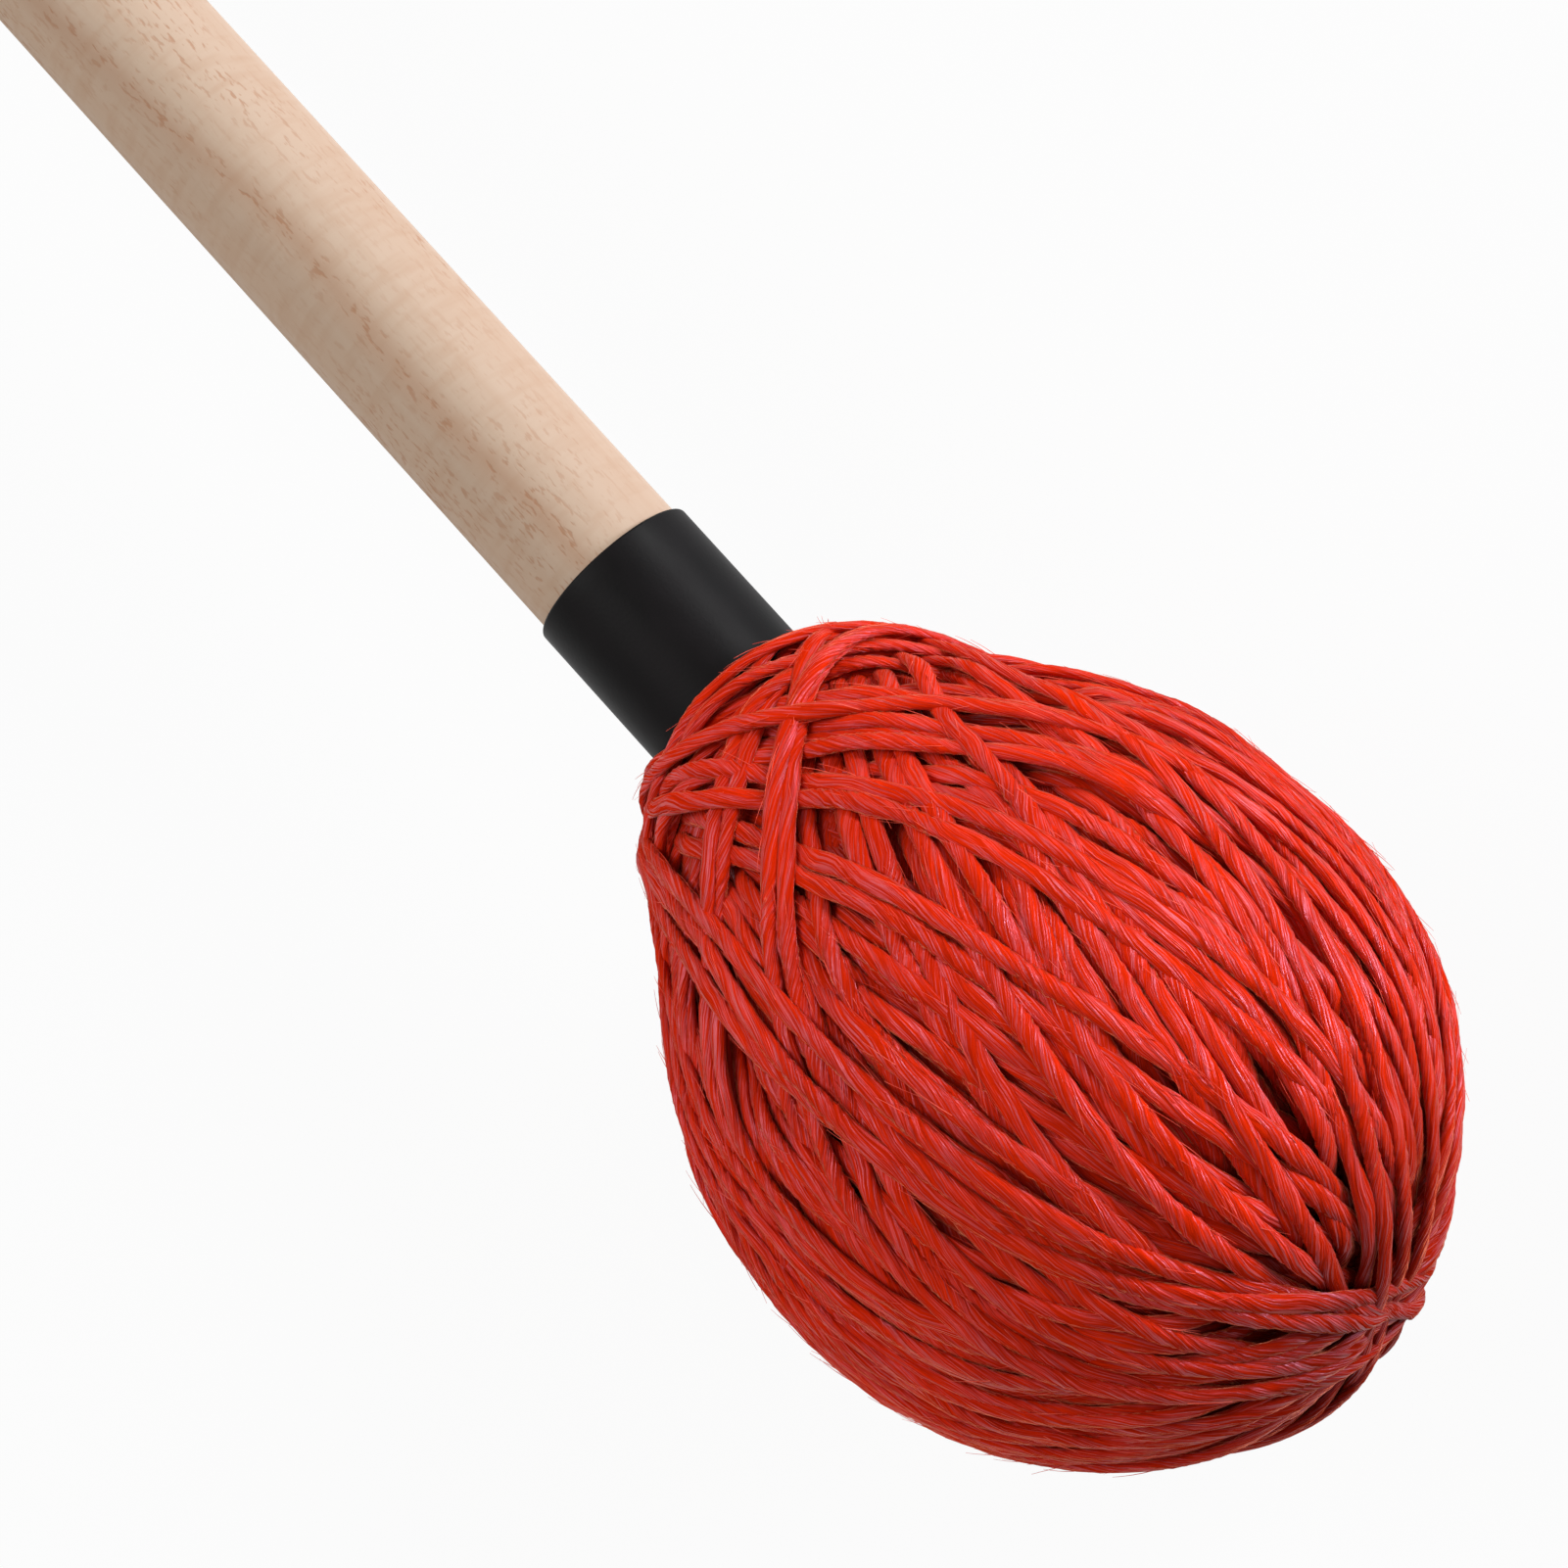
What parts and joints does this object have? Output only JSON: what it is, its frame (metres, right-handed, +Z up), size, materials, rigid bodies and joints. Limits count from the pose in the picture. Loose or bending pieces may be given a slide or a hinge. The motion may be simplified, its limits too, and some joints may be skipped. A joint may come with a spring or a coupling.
{
  "type": "marimba mallet",
  "caption": "Yarn-wound percussion mallet with a slim round wooden handle, a short black tube collar and a pear-shaped wound head, lying at rest.",
  "frame": {"origin": "on the surface that the mallet lies on, under the centre of its bounding box", "axes": "+X along the mallet from the butt of the handle to the head, +Y across it, +Z up; the mallet rests on its head and on the edge of its butt, so its own axis rises about two degrees towards the head"},
  "size_m": [0.4142, 0.0372, 0.0377],
  "materials": {
    "wood": "pale close-grained dowel, sanded smooth, satin",
    "black_tube": "matte shrunk tube",
    "core_rubber": "moulded, matte",
    "latex": "wrapped strip, matte",
    "packed_yarn": "packed plied yarn, matte",
    "yarn": "plied yarn with a slight fuzz, matte",
    "stitch_yarn": "plied yarn, matte"
  },
  "bodies": {
    "root": {"handle": "wood", "handle_sleeve": "black_tube", "core": "core_rubber", "latex_underwrap": "latex", "inner_winding": "packed_yarn", "outer_winding": "yarn", "neck_stitching": "stitch_yarn", "crown_stitching": "stitch_yarn"}
  },
  "joints": []
}
